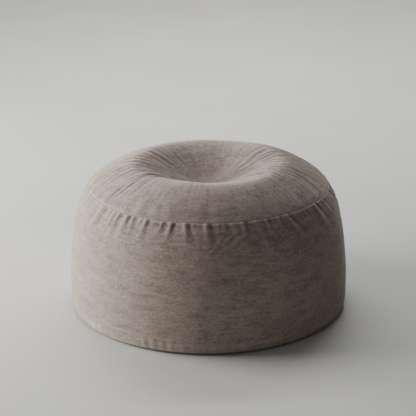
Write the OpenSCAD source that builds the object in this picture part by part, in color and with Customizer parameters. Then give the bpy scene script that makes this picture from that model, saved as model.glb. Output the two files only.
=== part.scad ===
// Round floor cushion: a zipped fabric cover over a zipped lining bag full of foam beads.
// Origin at the middle of the underside, +Z up. The front faces -Y, and the cover's zip is at the back.

/* [Overall] */
// Diameter at the widest part of the side
cushion_d = 906; // [740:1:1100]
// Height of the rounded rim around the seat
cushion_h = 479; // [390:1:580]
/* [Shape] */
// How far the top seam is in from the widest part
top_seam_inset = 65; // [50:1:80]
// How far the top seam is below the rim
top_seam_drop = 72; // [58:1:88]
// Lean of the fabric at the top seam, from level
top_seam_lean = 133; // [125:1:140]
// How far the top of the rim is in from the widest part
rim_inset = 213; // [175:1:256]
// Depth of the seat dish below the rim
dish_depth = 72; // [58:1:90]
// How far the base seam is in from the widest part
base_seam_inset = 7; // [5:0.5:10]
// Height of the base seam
base_seam_h = 8; // [7:0.5:10]
// Lean of the fabric at the base seam, from level
base_seam_lean = 72; // [66:1:78]
// Width of the rolled edge between the base seam and the flat underside
base_roll = 20; // [16:1:26]
// Height where the side becomes upright
upright_low = 38; // [34:1:40]
// Height where the side starts to roll in
upright_high = 98; // [96:1:118]
/* [Cover] */
// Thickness of the cover fabric
cover_t = 1.5; // [1.2:0.1:1.8]
// Width of the turned-in seam edges
seam_edge = 12; // [10:0.5:14]
// Arc of the side that the back bands and the zip take, in degrees
back_arc = 120; // [100:1:144]
// Thickness of the seam thread
thread_d = 0.9; // [0.6:0.1:1.1]
/* [Zips] */
// Height of both zips' centre lines
zip_h = 68; // [66:1:70]
// Width of the gap in the fabric where a zip shows
zip_gap = 12; // [12:0.5:14]
// Width of the fabric folded back beside a zip
zip_fold = 14; // [12:0.5:16]
// Width of one zip tape
tape_w = 14; // [12:0.5:16]
// Thickness of a zip tape
tape_t = 0.6; // [0.5:0.1:0.7]
// Space between the two tapes
tape_space = 1.6; // [1.4:0.1:1.9]
// Width of one row of zip coil
coil_w = 2.4; // [2:0.1:2.8]
// Thickness of the zip coil
coil_t = 2.2; // [1.9:0.1:2.6]
// Length of a zip slider
slider_len = 14; // [12:0.5:17]
// Thickness of a slider's plates
plate_t = 1.2; // [1:0.1:1.4]
// Length of the pull tab
pull_len = 32; // [26:1:38]
// Width of the pull tab
pull_w = 9; // [7.5:0.5:10]
// Thickness of the pull tab
pull_t = 1.4; // [1.2:0.1:1.7]
// Radius of the bar that the pull tab turns on
bar_r = 0.8; // [0.7:0.05:0.95]
/* [Lining bag] */
// Thickness of the lining fabric
lining_t = 0.5; // [0.4:0.1:0.6]
// Arc that the lining's zip takes, in degrees
lining_zip_arc = 80; // [66:1:96]
// Clear space between the lining and what is outside it, at the side
lining_side_gap = 1.7; // [1.4:0.1:2.1]
// Clear space between the lining and the flat underside
lining_flat_gap = 0.8; // [0.6:0.1:1]
/* [Care label] */
// Width of the blank care label
label_w = 40; // [32:1:50]
// Height of the blank care label
label_h = 30; // [25:1:36]
// Thickness of the care label
label_t = 0.4; // [0.3:0.1:0.5]

/* [Hidden] */
$fn = 96;

// Clearances
run_gap = 0.3;    // around a slider, and between the pull tab and what it passes
pin_gap = 0.1;    // around the bar in the pull tab's eye
lay_gap = 0.2;    // under a thread or a label that lies on fabric
fill_gap = 0.3;   // between the bead fill and the lining's thread
groove_gap = 0.5; // between the bead fill and the lining's slider

// Which skin a point belongs to
COVER = 0;
LINING = 1;
skin_t = [cover_t, lining_t];

// Main radii and the two seam points
side_r = cushion_d / 2;
flat_r = side_r - base_seam_inset - base_roll;
top_seam = [side_r - top_seam_inset, cushion_h - top_seam_drop];
base_seam = [side_r - base_seam_inset, base_seam_h];

// A cubic curve from a to b: it leaves a at lean a_dir and reaches b at lean b_dir, and each pull
// is a share of the straight distance. The first point is left out, so curves join in one list.
function along(dir) = [cos(dir), sin(dir)];
function blend(a, b, c, d, t) =
    pow(1 - t, 3) * a + 3 * pow(1 - t, 2) * t * b + 3 * (1 - t) * t * t * c + pow(t, 3) * d;
function curve(a, a_dir, a_pull, b, b_dir, b_pull, steps) =
    let (reach = norm(b - a), a_arm = a + a_pull * reach * along(a_dir),
         b_arm = b - b_pull * reach * along(b_dir))
    [for (i = [1:steps]) blend(a, a_arm, b_arm, b, i / steps)];

// The outside of the cover in section, from the middle of the underside to the middle of the seat.
// Fabric runs straight beside each seam, for the width of the turned-in edges.
base_before = base_seam - cover_t * along(base_seam_lean);
base_after = base_seam + seam_edge * along(base_seam_lean);
top_before = top_seam - seam_edge * along(top_seam_lean);
top_after = top_seam + cover_t * along(top_seam_lean);
roll_steps = 4;
low_steps = 3;
side_steps = 9;
rim_steps = 7;
dish_steps = 10;
outline = concat(
    [[0, 0], [flat_r, 0]],
    curve([flat_r, 0], 0, 0.4, base_before, base_seam_lean, 0.3, roll_steps),
    [base_seam, base_after],
    curve(base_after, base_seam_lean, 0.3, [side_r, upright_low], 90, 0.3, low_steps),
    [[side_r, upright_high]],
    curve([side_r, upright_high], 90, 0.16, top_before, top_seam_lean, 0.27, side_steps),
    [top_seam, top_after],
    curve(top_after, top_seam_lean, 0.33, [side_r - rim_inset, cushion_h], 180, 0.24, rim_steps),
    curve([side_r - rim_inset, cushion_h], 180, 0.28, [0, cushion_h - dish_depth], 180, 0.35,
          dish_steps)
);
LAST = len(outline) - 1;
BASE_SEAM = roll_steps + 2;
UPRIGHT_LOW = BASE_SEAM + 1 + low_steps;
UPRIGHT_HIGH = UPRIGHT_LOW + 1;
TOP_SEAM = UPRIGHT_HIGH + side_steps + 1;

// The direction into the cushion at each outline point, and points at a depth under the outline
function turn(v) = [-v[1], v[0]] / norm(v);
function inward(i) =
    i == 0 ? [0, 1]
    : i == LAST ? [0, -1]
    : i == UPRIGHT_LOW || i == UPRIGHT_HIGH ? [-1, 0]
    : abs(i - BASE_SEAM) < 2 ? turn(along(base_seam_lean))
    : abs(i - TOP_SEAM) < 2 ? turn(along(top_seam_lean))
    : turn(outline[i + 1] - outline[i - 1]);
function under(i, depth) = outline[i] + depth * inward(i);

// A slider reaches this far in from the inner face of the folded cover fabric
slider_depth = tape_t + coil_t + run_gap + plate_t;
// The lining keeps clear of the cover's zip and of its turned-in seam edges
lining_side_ease = 2 * cover_t + slider_depth + lining_side_gap;
lining_flat_ease = cover_t + lining_flat_gap;
function lining_ease(i) =
    lining_flat_ease + (lining_side_ease - lining_flat_ease) * abs(inward(i)[0]);
// A point of a skin, counted in fabric layers from its outside
function skin(part, i, layer) =
    under(i, layer * skin_t[part] + (part == LINING ? lining_ease(i) : 0));
// Points of a skin along the outline, forwards or backwards. The lining cuts across the base corner.
function run(part, from, to, layer) = [
    for (i = [from:(from < to ? 1 : -1):to])
        if (part == COVER || abs(i + 1.5 - BASE_SEAM) > 1) skin(part, i, layer)
];
// The outer side of the layer that a neighbour folds over a seam, one layer before or after it
function fold_over(part, seam, lean, side) =
    skin(part, seam, 3) + side * skin_t[part] * along(lean);

// Each panel of a skin in section. Both turned-in edges of a seam are pressed towards the side:
// the side's own edge is folded double, and the neighbour's edge lies over it.
function top_section(part) = concat(
    run(part, TOP_SEAM, LAST, 0),
    run(part, LAST, TOP_SEAM + 1, 1),
    [fold_over(part, TOP_SEAM, top_seam_lean, 1), skin(part, TOP_SEAM - 1, 3),
     skin(part, TOP_SEAM - 1, 2), skin(part, TOP_SEAM, 2)]
);
function base_section(part) = concat(
    run(part, 0, BASE_SEAM, 0),
    [skin(part, BASE_SEAM, 2), skin(part, BASE_SEAM + 1, 2), skin(part, BASE_SEAM + 1, 3),
     fold_over(part, BASE_SEAM, base_seam_lean, -1)],
    run(part, BASE_SEAM - 1, 0, 1)
);
function side_section(part) = concat(
    run(part, BASE_SEAM, TOP_SEAM, 0),
    [skin(part, TOP_SEAM, 2), skin(part, TOP_SEAM - 1, 2)],
    run(part, TOP_SEAM - 1, BASE_SEAM + 1, 1),
    [skin(part, BASE_SEAM + 1, 2), skin(part, BASE_SEAM, 2)]
);
zip_top = zip_h + zip_gap / 2;
zip_bottom = zip_h - zip_gap / 2;
upper_section = concat(
    [[side_r, zip_top]],
    run(COVER, UPRIGHT_HIGH, TOP_SEAM, 0),
    [skin(COVER, TOP_SEAM, 2), skin(COVER, TOP_SEAM - 1, 2)],
    run(COVER, TOP_SEAM - 1, UPRIGHT_HIGH, 1),
    [[side_r - cover_t, zip_top + zip_fold], [side_r - 2 * cover_t, zip_top + zip_fold],
     [side_r - 2 * cover_t, zip_top]]
);
lower_section = concat(
    run(COVER, BASE_SEAM, UPRIGHT_LOW, 0),
    [[side_r, zip_bottom], [side_r - 2 * cover_t, zip_bottom],
     [side_r - 2 * cover_t, zip_bottom - zip_fold], [side_r - cover_t, zip_bottom - zip_fold]],
    run(COVER, UPRIGHT_LOW, BASE_SEAM + 1, 1),
    [skin(COVER, BASE_SEAM + 1, 2), skin(COVER, BASE_SEAM, 2)]
);
// Two turned-in edges of a side seam, lying together inside the front band, and their thread
function upright_strip(from_depth, to_depth) = concat(
    [for (i = [BASE_SEAM + 1:TOP_SEAM - 1]) under(i, from_depth)],
    [for (i = [TOP_SEAM - 1:-1:BASE_SEAM + 1]) under(i, to_depth)]
);
side_edges_depth = 3 * cover_t + lay_gap;
side_thread_depth = side_edges_depth + lay_gap;
side_edges_section = upright_strip(cover_t + lay_gap, side_edges_depth);
side_thread_section = upright_strip(side_thread_depth, side_thread_depth + thread_d);
// The thread of a round seam, halfway along the turned-in edges
function lerp(a, b, t) = a + (b - a) * t;
function round_thread_section(part, seam, edge) =
    let (layers = 3 * skin_t[part], mid = lerp(skin(part, seam, 0), skin(part, edge, 0), 0.5),
         line = (skin(part, seam, 0) - skin(part, edge, 0)) / seam_edge, depth = inward(seam),
         far = edge < seam ? 1 : -1, width = line * thread_d / 2 * skin_t[part] / cover_t,
         near_face = (layers + lay_gap) * depth, height = thread_d * skin_t[part] / cover_t)
    [mid - width + near_face, mid + width + near_face,
     mid + width + near_face + height * depth, mid - width + near_face + height * depth];
// The bead fill, inside the lining's turned-in edges and thread. It cuts across the corner too.
fill_depth = 3 * lining_t + lay_gap + thread_d * lining_t / cover_t + fill_gap;
fill_section = [
    for (i = [0:LAST]) if (abs(i + 2 - BASE_SEAM) > 1) under(i, lining_ease(i) + fill_depth)
];

// Zips. A face radius is that of the inner face of the folded fabric that a tape is sewn to.
cover_face_r = side_r - 2 * cover_t;
lining_side_r = side_r - lining_side_ease;
lining_face_r = lining_side_r - 2 * lining_t;
back_start = 90 - back_arc / 2;
lining_zip_start = 270 - lining_zip_arc / 2;
function arc_deg(length) = length / side_r * 180 / PI;
tape_end = arc_deg(5);
coil_end = arc_deg(16);
stop_len = 3;
slider_half = slider_len / 2;
rail_t = 1.2;
rail_z = tape_space / 2 + coil_w + run_gap;
slider_w = 2 * (rail_z + rail_t);
web_t = tape_space - 2 * run_gap;
eye_wall = 0.8;
eye_r = bar_r + pin_gap + eye_wall;
pivot_rise = run_gap + plate_t + run_gap + eye_r;
cheek_t = 1.1;
eye_w = slider_w - 2 * cheek_t - 2 * run_gap;
cheek_r = bar_r + 0.5;
pull_neck = 1.6 * cheek_r;
pull_hole_r = pull_w / 2 - 2;
// A slider stands a pull tab's length inside the start of the zip, its tab lying along the zip
slider_deg = back_start + arc_deg(slider_len + stop_len + 16);
lining_slider_deg = lining_zip_start + arc_deg(slider_len + stop_len + 16);

module sector(start, sweep) {
    rotate_extrude(angle = sweep, start = start) children();
}

// One band of a zip, between two heights over its centre line; side is 1 above it and -1 below it
module zip_band(r_in, r_out, low, high, side, start, sweep) {
    sector(start, sweep)
        translate([r_in, zip_h + (side > 0 ? low : -high)]) square([r_out - r_in, high - low]);
}
module zip_tape(face_r, side, start, sweep) {
    zip_band(face_r - tape_t, face_r, tape_space / 2, tape_space / 2 + tape_w, side,
             start + tape_end, sweep - 2 * tape_end);
}
module zip_coil(face_r, side, start, sweep) {
    zip_band(face_r - tape_t - coil_t, face_r - tape_t, tape_space / 2, tape_space / 2 + coil_w,
             side, start + coil_end, sweep - 2 * coil_end);
}
// A crimped stop bridges both coils at one end of a zip
module zip_stop(face_r, start) {
    sector(start, arc_deg(stop_len))
        translate([face_r - tape_t - coil_t, zip_h - tape_space / 2 - coil_w])
            square([coil_t, tape_space + 2 * coil_w]);
}
// A box in a slider's own directions: outwards from the tape, along the zip and up
module slider_box(low, high) {
    translate(low) cube(high - low);
}
module slider_body(face_r) {
    inner = -tape_t - coil_t - run_gap;
    translate([face_r, 0, zip_h]) {
        slider_box([run_gap, -slider_half, -slider_w / 2],
                   [run_gap + plate_t, slider_half, slider_w / 2]);
        slider_box([inner - plate_t, -slider_half, -slider_w / 2],
                   [inner, slider_half, slider_w / 2]);
        slider_box([inner, slider_half - 5, -web_t / 2], [run_gap, slider_half - 1, web_t / 2]);
        for (low = [rail_z, -slider_w / 2])
            slider_box([inner, -slider_half, low], [-tape_t - run_gap, slider_half, low + rail_t]);
    }
}
// Two cheeks and a bar on the slider's outer plate carry the pull tab
module slider_bail(face_r) {
    translate([face_r, 0, zip_h]) {
        for (low = [-slider_w / 2, slider_w / 2 - cheek_t]) {
            slider_box([run_gap + plate_t, -cheek_r, low], [pivot_rise, cheek_r, low + cheek_t]);
            translate([pivot_rise, 0, low]) cylinder(r = cheek_r, h = cheek_t);
        }
        translate([pivot_rise, 0, -slider_w / 2 + cheek_t / 2])
            cylinder(r = bar_r, h = slider_w - cheek_t);
    }
}

// Cover
module cover_top_panel() {
    color("#9a8c82") rotate_extrude() polygon(top_section(COVER));
}
module cover_front_band() {
    color("#8d7f75")
        sector(back_start + back_arc, 360 - back_arc) polygon(side_section(COVER));
}
module cover_back_band_upper() {
    color("#85786e") sector(back_start, back_arc) polygon(upper_section);
}
module cover_back_band_lower() {
    color("#85786e") sector(back_start, back_arc) polygon(lower_section);
}
module cover_base_panel() {
    color("#6f655e") rotate_extrude() polygon(base_section(COVER));
}
module seam_thread(part, seam, edge) {
    color("#b5a89c") rotate_extrude() polygon(round_thread_section(part, seam, edge));
}
// A side seam starts at deg and its edges and thread lie on the front side of it, 1 or -1
module side_edges(deg, front) {
    sweep = arc_deg(seam_edge);
    color("#85786e") sector(front > 0 ? deg : deg - sweep, sweep) polygon(side_edges_section);
}
module side_thread(deg, front) {
    half = arc_deg(thread_d / 2);
    middle = deg + front * arc_deg(seam_edge / 4);
    color("#b5a89c") sector(middle - half, 2 * half) polygon(side_thread_section);
}
// A folded label caught in the left side seam, flat against the inside of the front band
module care_label() {
    r = side_r - cover_t - lay_gap;
    start = back_start + back_arc + arc_deg(seam_edge + lay_gap);
    color("#efece6") sector(start, arc_deg(label_w))
        translate([r - label_t, zip_h - label_h / 2]) square([label_t, label_h]);
}

// Cover zip
module zip_tapes(side) {
    color("#6d625a") zip_tape(cover_face_r, side, back_start, back_arc);
}
module zip_coils(side) {
    color("#5f554e") zip_coil(cover_face_r, side, back_start, back_arc);
}
module zip_start_stop() {
    color("#a7a29b") zip_stop(cover_face_r, back_start + coil_end - arc_deg(stop_len));
}
module zip_end_stop() {
    color("#a7a29b") zip_stop(cover_face_r, back_start + back_arc - coil_end);
}
module zip_slider() {
    color("#a7a29b") rotate([0, 0, slider_deg]) {
        slider_body(cover_face_r);
        slider_bail(cover_face_r);
    }
}
// The tab turns on the bar through its eye, and has a round hole near its free end
module zip_pull() {
    color("#a7a29b") rotate([0, 0, slider_deg]) translate([cover_face_r + pivot_rise, 0, zip_h])
        difference() {
            union() {
                translate([0, 0, -eye_w / 2]) cylinder(r = eye_r, h = eye_w);
                slider_box([-pull_t / 2, 0, -eye_w / 2], [pull_t / 2, pull_neck + 1, eye_w / 2]);
                slider_box([-pull_t / 2, pull_neck, -pull_w / 2],
                           [pull_t / 2, pull_len - pull_w / 2, pull_w / 2]);
                translate([-pull_t / 2, pull_len - pull_w / 2, 0]) rotate([0, 90, 0])
                    cylinder(d = pull_w, h = pull_t);
            }
            translate([0, 0, -eye_w]) cylinder(r = bar_r + pin_gap, h = 2 * eye_w);
            translate([-pull_t, pull_len - pull_w / 2, 0]) rotate([0, 90, 0])
                cylinder(r = pull_hole_r, h = 2 * pull_t);
        }
}

// Lining bag
module lining_top_panel() {
    color("#e4e0d8") rotate_extrude() polygon(top_section(LINING));
}
module lining_side_wall() {
    wide = 10 * lining_t;
    color("#dedad2") {
        difference() {
            rotate_extrude() polygon(side_section(LINING));
            sector(lining_zip_start, lining_zip_arc)
                translate([lining_side_r - wide / 2, zip_bottom]) square([wide, zip_gap]);
        }
        for (side = [-1, 1])
            zip_band(lining_face_r, lining_face_r + lining_t, zip_gap / 2, zip_gap / 2 + zip_fold,
                     side, lining_zip_start, lining_zip_arc);
    }
}
module lining_base_panel() {
    color("#d8d4cc") rotate_extrude() polygon(base_section(LINING));
}
module lining_zip_tapes(side) {
    color("#d0ccc4") zip_tape(lining_face_r, side, lining_zip_start, lining_zip_arc);
}
module lining_zip_coils(side) {
    color("#c4c0b8") zip_coil(lining_face_r, side, lining_zip_start, lining_zip_arc);
}
module lining_zip_start_stop() {
    color("#a7a29b") zip_stop(lining_face_r, lining_zip_start + coil_end - arc_deg(stop_len));
}
module lining_zip_end_stop() {
    color("#a7a29b") zip_stop(lining_face_r, lining_zip_start + lining_zip_arc - coil_end);
}
// Kept without a pull tab, so that a child can't open the bead bag
module lining_zip_slider() {
    color("#a7a29b") rotate([0, 0, lining_slider_deg]) slider_body(lining_face_r);
}
// The loose beads as one settled mass, with room for the lining's slider to run
module bead_fill() {
    groove_r = lining_face_r - slider_depth - groove_gap;
    groove_w = slider_w + 2 * groove_gap;
    color("#f4f2ee") difference() {
        rotate_extrude() polygon(fill_section);
        sector(lining_zip_start, lining_zip_arc)
            translate([groove_r, zip_h - groove_w / 2]) square([lining_side_ease, groove_w]);
    }
}

cover_top_panel();
cover_front_band();
cover_back_band_upper();
cover_back_band_lower();
cover_base_panel();
seam_thread(COVER, TOP_SEAM, TOP_SEAM - 1);  // top_seam_thread
seam_thread(COVER, BASE_SEAM, BASE_SEAM + 1);  // base_seam_thread
side_edges(back_start + back_arc, 1);  // side_seam_edges_left
side_edges(back_start, -1);  // side_seam_edges_right
side_thread(back_start + back_arc, 1);  // side_seam_thread_left
side_thread(back_start, -1);  // side_seam_thread_right
zip_tapes(1);  // zip_tape_upper
zip_tapes(-1);  // zip_tape_lower
zip_coils(1);  // zip_coil_upper
zip_coils(-1);  // zip_coil_lower
zip_start_stop();
zip_end_stop();
zip_slider();
zip_pull();
care_label();
lining_top_panel();
lining_side_wall();
lining_base_panel();
seam_thread(LINING, TOP_SEAM, TOP_SEAM - 1);  // lining_top_thread
seam_thread(LINING, BASE_SEAM, BASE_SEAM + 1);  // lining_base_thread
lining_zip_tapes(1);  // lining_zip_tape_upper
lining_zip_tapes(-1);  // lining_zip_tape_lower
lining_zip_coils(1);  // lining_zip_coil_upper
lining_zip_coils(-1);  // lining_zip_coil_lower
lining_zip_start_stop();
lining_zip_end_stop();
lining_zip_slider();
bead_fill();
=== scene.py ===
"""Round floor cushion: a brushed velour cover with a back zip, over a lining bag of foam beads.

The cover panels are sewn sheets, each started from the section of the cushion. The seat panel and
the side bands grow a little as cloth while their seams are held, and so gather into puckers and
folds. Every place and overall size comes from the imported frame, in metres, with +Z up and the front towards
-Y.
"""
import logging
import math
from dataclasses import dataclass, field
from enum import Enum

import bmesh
import bpy
import numpy as np
from mathutils import Matrix, Vector


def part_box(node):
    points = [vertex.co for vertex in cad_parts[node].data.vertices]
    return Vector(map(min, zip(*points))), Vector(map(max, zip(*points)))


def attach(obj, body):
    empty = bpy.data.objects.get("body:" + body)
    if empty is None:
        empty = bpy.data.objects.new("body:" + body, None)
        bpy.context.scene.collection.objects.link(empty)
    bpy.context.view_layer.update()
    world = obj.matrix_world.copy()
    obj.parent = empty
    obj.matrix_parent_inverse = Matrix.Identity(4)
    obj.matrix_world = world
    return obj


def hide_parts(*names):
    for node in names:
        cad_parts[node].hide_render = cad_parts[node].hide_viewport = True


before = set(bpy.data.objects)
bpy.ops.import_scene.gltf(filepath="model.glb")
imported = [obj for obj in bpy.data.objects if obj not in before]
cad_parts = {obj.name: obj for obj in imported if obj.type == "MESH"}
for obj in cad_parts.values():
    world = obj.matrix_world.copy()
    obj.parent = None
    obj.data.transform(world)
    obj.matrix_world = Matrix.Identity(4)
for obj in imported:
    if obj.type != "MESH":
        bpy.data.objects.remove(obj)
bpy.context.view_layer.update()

MM = 0.001
log = logging.getLogger("floor_cushion")


class Body(Enum):
    """The bodies of the frame that a made piece rides on; the sliders and the tab keep their own."""

    CUSHION = "cushion"


class Slot(Enum):
    """The record's finish slots."""

    COVER = "cover_fabric"
    BASE = "base_fabric"
    THREAD = "seam_thread"
    TAPE = "zip_tape"
    COIL = "zip_coil"
    METAL = "zip_metal"
    LABEL = "care_label"
    LINING = "lining_fabric"
    LINING_THREAD = "lining_thread"
    LINING_TAPE = "lining_tape"
    LINING_COIL = "lining_coil"
    BEADS = "foam_beads"


class RowShape(Enum):
    """What a Geometry Nodes row repeats along its path."""

    STITCH = "stitch"
    COIL_LOOP = "coil_loop"


# ---------------------------------------------------------------- finishes


class Shader:
    """A small helper that adds nodes to one material and links them."""

    def __init__(self, name: str) -> None:
        """Starts a material that holds one Principled shader.

        Args:
            name: The material's name.
        """
        self.material = bpy.data.materials.new(name)
        self.material.use_nodes = True
        self.tree = self.material.node_tree
        self.surface = self.tree.nodes["Principled BSDF"]

    def add(self, kind: str, inputs: dict[object, object] | None = None, **props: object) -> bpy.types.Node:
        """Adds a node.

        Args:
            kind: The node's type name.
            inputs: Values or output sockets, by input name or index.
            **props: Properties of the node itself.

        Returns:
            The new node.
        """
        node = self.tree.nodes.new(kind)
        for key, value in props.items():
            setattr(node, key, value)
        for key, value in (inputs or {}).items():
            self.feed(node.inputs[key], value)
        return node

    def feed(self, socket: bpy.types.NodeSocket, value: object) -> None:
        """Links an output socket to an input, or sets the input's value."""
        if isinstance(value, bpy.types.NodeSocket):
            self.tree.links.new(value, socket)
        else:
            socket.default_value = value

    def place(self, scale: tuple[float, float, float]) -> bpy.types.NodeSocket:
        """Returns object coordinates stretched by a scale."""
        coordinates = self.add("ShaderNodeTexCoord").outputs["Object"]
        return self.add("ShaderNodeMapping", {"Vector": coordinates, "Scale": scale}).outputs["Vector"]

    def noise(self, at: bpy.types.NodeSocket, scale: float, detail: float = 4.0,
              rough: float = 0.55, twist: float = 0.0) -> bpy.types.NodeSocket:
        """Returns a noise value at the given coordinates."""
        inputs = {"Vector": at, "Scale": scale, "Detail": detail, "Roughness": rough,
                  "Distortion": twist}
        return self.add("ShaderNodeTexNoise", inputs).outputs["Fac"]

    def spread(self, value: bpy.types.NodeSocket, low: float, high: float,
               to_low: float = 0.0, to_high: float = 1.0) -> bpy.types.NodeSocket:
        """Returns a value stretched from low..high to to_low..to_high, and clamped."""
        inputs = {"Value": value, "From Min": low, "From Max": high, "To Min": to_low,
                  "To Max": to_high}
        return self.add("ShaderNodeMapRange", inputs).outputs["Result"]

    def mix(self, share: object, first: object, second: object) -> bpy.types.NodeSocket:
        """Returns a colour between two colours."""
        node = self.add("ShaderNodeMix", data_type="RGBA")
        for socket, value in zip((node.inputs[0], node.inputs[6], node.inputs[7]), (share, first, second)):
            self.feed(socket, value)
        return node.outputs[2]

    def math(self, operation: str, first: object, second: object) -> bpy.types.NodeSocket:
        """Returns the result of one arithmetic step."""
        return self.add("ShaderNodeMath", {0: first, 1: second}, operation=operation).outputs[0]

    def bump(self, height: bpy.types.NodeSocket, strength: float, distance: float,
             under: bpy.types.NodeSocket | None = None) -> bpy.types.NodeSocket:
        """Returns a bumped normal, on top of another one if it is given."""
        inputs = {"Height": height, "Strength": strength, "Distance": distance}
        if under is not None:
            inputs["Normal"] = under
        return self.add("ShaderNodeBump", inputs).outputs["Normal"]

    def finish(self, **surface: object) -> bpy.types.Material:
        """Sets the Principled shader's inputs, with _ for a space, and returns the material."""
        for key, value in surface.items():
            self.feed(self.surface.inputs[key.replace("_", " ")], value)
        return self.material


def rgb(red: float, green: float, blue: float) -> tuple[float, float, float, float]:
    """Returns an opaque linear colour from 0-255 display values."""
    def linear(value: float) -> float:
        """Returns one channel as linear light."""
        value /= 255.0
        return value / 12.92 if value <= 0.04045 else ((value + 0.055) / 1.055) ** 2.4
    return (linear(red), linear(green), linear(blue), 1.0)


@dataclass(frozen=True)
class VelourFinish:
    """Brushed velour: a mottled nap, faint cross streaks and a soft sheen.

    Attributes:
        name: The material's name.
        warm: The pinkish shade of the nap.
        cool: The greenish shade of the nap.
        deep: The darker nap where it lies away and in its mottling, also used for the painted shade in folds.
        pale: The paler nap on rubbed spots and where it lies, also used on crests, partly as rubbed nap and
            partly as painted highlight.
        streak: How strongly the nap streaks round the cushion, 0 to 1.
        sheen: Strength of the sheen.
        sheen_spread: Roughness of the sheen.
        grain_scale: Scale of the nap's grain.
        fibre_scale: Scale of the single fibres.
        patch_scale: Scale of the warm and cool patches.
    """

    name: str
    warm: tuple[float, float, float, float]
    cool: tuple[float, float, float, float]
    deep: tuple[float, float, float, float]
    pale: tuple[float, float, float, float]
    streak: float
    sheen: float = 0.38
    sheen_spread: float = 0.45
    grain_scale: float = 105.0
    fibre_scale: float = 620.0
    patch_scale: float = 5.5

    def material(self) -> bpy.types.Material:
        """Builds the material."""
        s = Shader(self.name)
        even = s.place((1.0, 1.0, 1.0))
        along = s.place((1.0, 1.0, 10.0))
        patch = s.noise(even, self.patch_scale, 3.0, 0.5, 0.4)
        cloud = s.noise(s.place((1.0, 1.0, 2.6)), 17.0, 5.0, 0.62, 0.6)
        grain = s.noise(s.place((1.0, 1.0, 2.2)), self.grain_scale, 4.0, 0.7)
        fibre = s.noise(even, self.fibre_scale, 2.0, 0.6)
        streak = s.noise(along, 13.0, 6.0, 0.7)
        crest = s.add("ShaderNodeAttribute", attribute_name="crest").outputs["Fac"]
        base = s.mix(s.spread(patch, 0.36, 0.64), self.warm, self.cool)
        dark = s.spread(cloud, 0.42, 0.66, 0.0, 0.5)
        base = s.mix(dark, base, self.deep)
        lie = s.spread(grain, 0.46, 0.66, 0.0, 0.40)
        base = s.mix(lie, base, self.pale)
        base = s.mix(s.spread(grain, 0.48, 0.30, 0.0, 0.28), base, self.deep)
        base = s.mix(s.spread(streak, 0.55, 0.75, 0.0, self.streak), base, self.deep)
        base = s.mix(s.spread(streak, 0.45, 0.28, 0.0, self.streak * 0.7), base, self.pale)
        # Painted shade and highlight from the crest value: folds are painted darker as painted shade, crests
        # paler, partly rubbed nap and partly painted highlight.
        base = s.mix(s.spread(crest, 0.5, 0.0, 0.0, 0.55), base, self.deep)
        base = s.mix(s.spread(crest, 0.5, 1.0, 0.0, 0.45), base, self.pale)
        normal = s.bump(cloud, 0.5, 2.2 * MM)
        normal = s.bump(streak, 0.6 * self.streak, 1.6 * MM, normal)
        normal = s.bump(grain, 0.6, 1.0 * MM, normal)
        normal = s.bump(fibre, 0.5, 0.35 * MM, normal)
        rough = s.spread(grain, 0.3, 0.7, 0.86, 0.98)
        return s.finish(Base_Color=base, Roughness=rough, Normal=normal, Sheen_Weight=self.sheen,
                        Sheen_Roughness=self.sheen_spread, Sheen_Tint=(0.92, 0.86, 0.80, 1.0),
                        Specular_IOR_Level=0.2)


@dataclass(frozen=True)
class WovenFinish:
    """Plain woven cloth: two sets of yarns that cross, with slubs and a little soil."""

    name: str
    yarn: tuple[float, float, float, float]
    gap: tuple[float, float, float, float]
    pitch: float
    rough: float = 0.88
    relief: float = 0.25 * MM
    sheen: float = 0.08

    def material(self) -> bpy.types.Material:
        """Builds the material."""
        s = Shader(self.name)
        even = s.place((1.0, 1.0, 1.0))
        waves = [s.add("ShaderNodeTexWave", {"Vector": even, "Scale": 0.314 / self.pitch,
                                             "Distortion": 1.2, "Detail": 1.5, "Detail Scale": 2.0},
                       bands_direction=axis).outputs["Fac"] for axis in ("X", "Y", "Z")]
        weave = s.math("MULTIPLY", s.math("MAXIMUM", waves[0], waves[1]), waves[2])
        slub = s.noise(even, 60.0, 5.0, 0.7)
        cloud = s.noise(even, 8.0, 3.0)
        base = s.mix(weave, self.gap, self.yarn)
        base = s.mix(s.spread(slub, 0.5, 0.8, 0.0, 0.35), base, self.gap)
        base = s.mix(s.spread(cloud, 0.5, 0.8, 0.0, 0.3), base, self.gap)
        normal = s.bump(weave, 0.7, self.relief)
        normal = s.bump(slub, 0.3, 2.0 * self.relief, normal)
        rough = s.spread(slub, 0.3, 0.7, self.rough - 0.06, self.rough + 0.06)
        return s.finish(Base_Color=base, Roughness=rough, Normal=normal, Sheen_Weight=self.sheen)


@dataclass(frozen=True)
class ThreadFinish:
    """Twisted sewing thread or coil filament: fine turns along a smooth strand."""

    name: str
    light: tuple[float, float, float, float]
    dark: tuple[float, float, float, float]
    rough: float = 0.6

    def material(self) -> bpy.types.Material:
        """Builds the material."""
        s = Shader(self.name)
        even = s.place((1.0, 1.0, 1.0))
        twist = s.noise(even, 900.0, 2.0, 0.5, 0.5)
        shade = s.noise(even, 40.0, 3.0)
        base = s.mix(s.spread(twist, 0.35, 0.65), self.dark, self.light)
        base = s.mix(s.spread(shade, 0.5, 0.75, 0.0, 0.4), base, self.dark)
        rough = s.spread(twist, 0.3, 0.7, self.rough - 0.1, self.rough + 0.1)
        return s.finish(Base_Color=base, Roughness=rough, Normal=s.bump(twist, 0.5, 0.1 * MM))


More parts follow.
